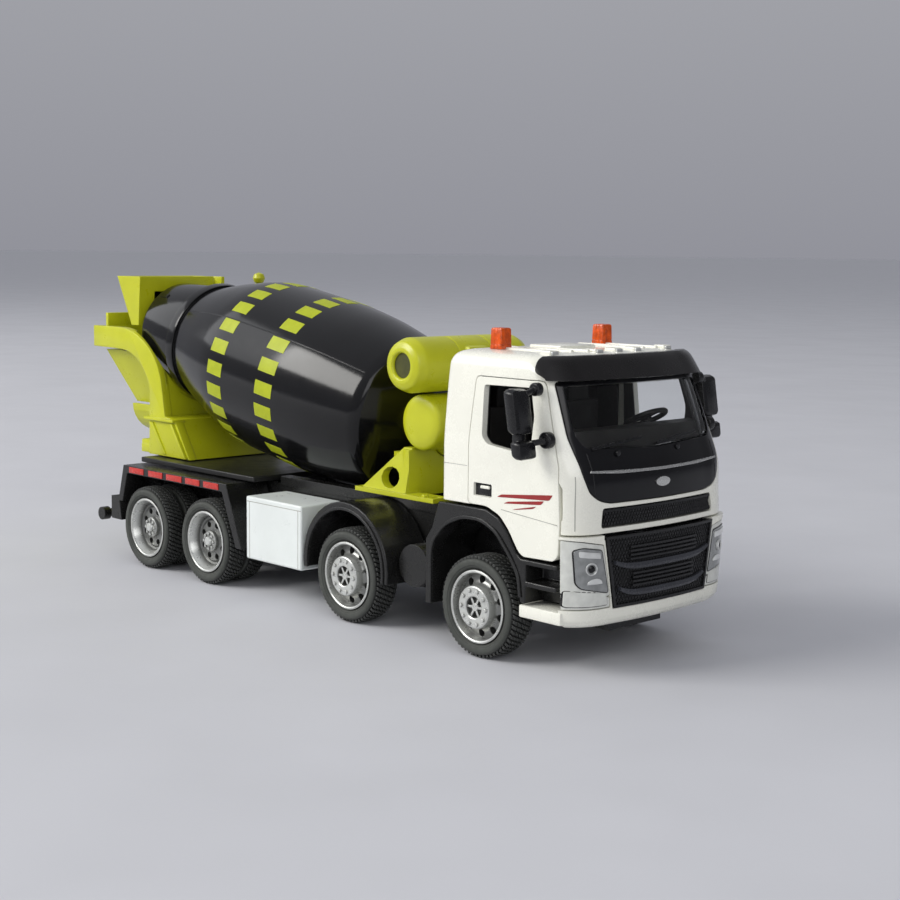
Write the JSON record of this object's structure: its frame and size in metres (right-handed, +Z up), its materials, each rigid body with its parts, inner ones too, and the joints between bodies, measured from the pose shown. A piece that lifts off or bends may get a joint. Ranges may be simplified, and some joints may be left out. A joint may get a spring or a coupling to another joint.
{
  "type": "toy cement mixer truck",
  "caption": "Scale-model concrete mixer truck with a turning tilted drum, rolling wheels, opening cab doors and a swinging rear chute.",
  "frame": {"origin": "on the ground, under the middle of the truck's overall length and width", "axes": "+X forward, out of the cab's nose; +Y to the truck's left side; +Z up"},
  "size_m": [0.1887, 0.063, 0.0753],
  "materials": {
    "cab_white": "glossy warm white enamel",
    "box_white": "satin cool white",
    "lime": "satin lime, coloured through",
    "drum_black": "polished black",
    "gloss_black": "polished black",
    "chassis_black": "satin black, fine grain",
    "trim_black": "satin black",
    "interior_black": "matt black",
    "visor_smoke": "smoked black, glossy",
    "clear_plastic": "clear, glossy",
    "lamp_silver": "silver-grey behind a clear face",
    "beacon_orange": "translucent orange, glossy",
    "tyre_rubber": "matt grey-black",
    "rim_silver": "satin silver",
    "axle_steel": "bright drawn steel"
  },
  "bodies": {
    "truck": {"chassis_frame": "chassis_black", "base_plate": "chassis_black", "rear_deck": "chassis_black", "rear_fender_right": "chassis_black", "rear_fender_left": "chassis_black", "underrun_bar": "chassis_black", "front_fender_right": "chassis_black", "front_fender_left": "chassis_black", "second_fender_right": "chassis_black", "second_fender_left": "chassis_black", "toolbox_right": "box_white", "toolbox_left": "box_white", "cab_shell": "cab_white", "bumper": "cab_white", "upper_grille": "trim_black", "lower_grille": "trim_black", "front_panel": "gloss_black", "windscreen": "clear_plastic", "headlight_right": "lamp_silver", "headlight_left": "lamp_silver", "sun_visor": "visor_smoke", "beacon_right": "beacon_orange", "beacon_left": "beacon_orange", "cab_interior": "interior_black", "steering_wheel": "interior_black", "water_tank": "lime", "gearbox_housing": "lime", "front_pedestal": "lime", "rear_frame": "lime", "hopper": "lime", "discharge_funnel": "lime", "ladder": "lime"},
    "drum": {"drum_shell": "drum_black", "drum_collar": "drum_black", "drum_shaft": "axle_steel"},
    "wheelset_1": {"axle_1": "axle_steel", "rim_1_right": "rim_silver", "tyre_1_right": "tyre_rubber", "rim_1_left": "rim_silver", "tyre_1_left": "tyre_rubber"},
    "wheelset_2": {"axle_2": "axle_steel", "rim_2_right": "rim_silver", "tyre_2_right": "tyre_rubber", "rim_2_left": "rim_silver", "tyre_2_left": "tyre_rubber"},
    "wheelset_3": {"axle_3": "axle_steel", "rim_3_right": "rim_silver", "tyre_3_right": "tyre_rubber", "rim_3_left": "rim_silver", "tyre_3_left": "tyre_rubber"},
    "wheelset_4": {"axle_4": "axle_steel", "rim_4_right": "rim_silver", "tyre_4_right": "tyre_rubber", "rim_4_left": "rim_silver", "tyre_4_left": "tyre_rubber"},
    "right_door": {"door_right": "cab_white", "mirror_right": "trim_black"},
    "left_door": {"door_left": "cab_white", "mirror_left": "trim_black"},
    "chute": {"swivel_chute": "lime"}
  },
  "joints": [
    {"name": "wheelset_1_roll", "type": "hinge", "parent": "truck", "child": "wheelset_1", "pos_m": [0.06595, 0, 0.0105], "axis": [0, 1, 0], "continuous": true},
    {"name": "wheelset_2_roll", "type": "hinge", "parent": "truck", "child": "wheelset_2", "pos_m": [0.02515, 0, 0.0105], "axis": [0, 1, 0], "continuous": true},
    {"name": "wheelset_3_roll", "type": "hinge", "parent": "truck", "child": "wheelset_3", "pos_m": [-0.02865, 0, 0.0105], "axis": [0, 1, 0], "continuous": true},
    {"name": "wheelset_4_roll", "type": "hinge", "parent": "truck", "child": "wheelset_4", "pos_m": [-0.05455, 0, 0.0105], "axis": [0, 1, 0], "continuous": true},
    {"name": "drum_spin", "type": "hinge", "parent": "truck", "child": "drum", "pos_m": [0.02595, 0, 0.0423], "axis": [-0.9848, 0, 0.1736], "continuous": true},
    {"name": "right_door_hinge", "type": "hinge", "parent": "truck", "child": "right_door", "pos_m": [0.08785, -0.0238, 0.04], "axis": [0, 0, 1], "range_deg": [0, 60]},
    {"name": "left_door_hinge", "type": "hinge", "parent": "truck", "child": "left_door", "pos_m": [0.08785, 0.0238, 0.04], "axis": [0, 0, -1], "range_deg": [0, 60]},
    {"name": "chute_swing", "type": "hinge", "parent": "truck", "child": "chute", "pos_m": [-0.07055, 0, 0.0392], "axis": [0, 0, 1], "range_deg": [-55, 55]}
  ]
}
